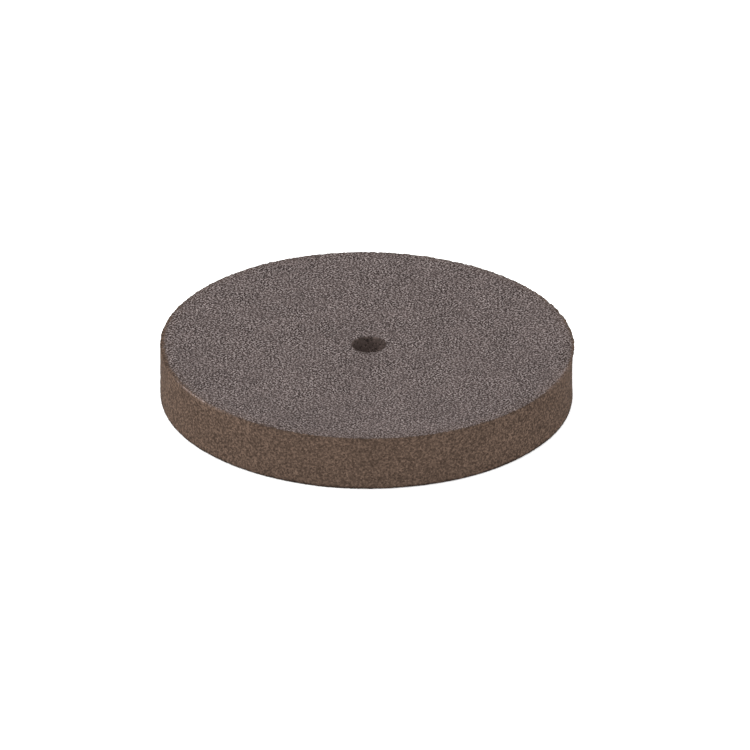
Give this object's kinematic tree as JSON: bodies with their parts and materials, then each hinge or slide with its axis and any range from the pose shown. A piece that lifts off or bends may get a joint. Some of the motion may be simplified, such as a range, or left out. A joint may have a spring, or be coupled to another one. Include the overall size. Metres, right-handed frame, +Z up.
{
  "type": "polishing wheel",
  "caption": "Flat round polishing wheel of dense, matt, grey-brown grain-filled material, with a plain through bore for a small screw mandrel.",
  "frame": {"origin": "centre of the bore at the lower flat face, on which the wheel lies", "axes": "+Z up along the wheel's axis of rotation; X and Y are any two square directions across the round face"},
  "size_m": [0.022, 0.022, 0.003],
  "materials": {
    "wheel_compound": "matte"
  },
  "bodies": {
    "root": {"wheel_body": "wheel_compound"}
  },
  "joints": []
}
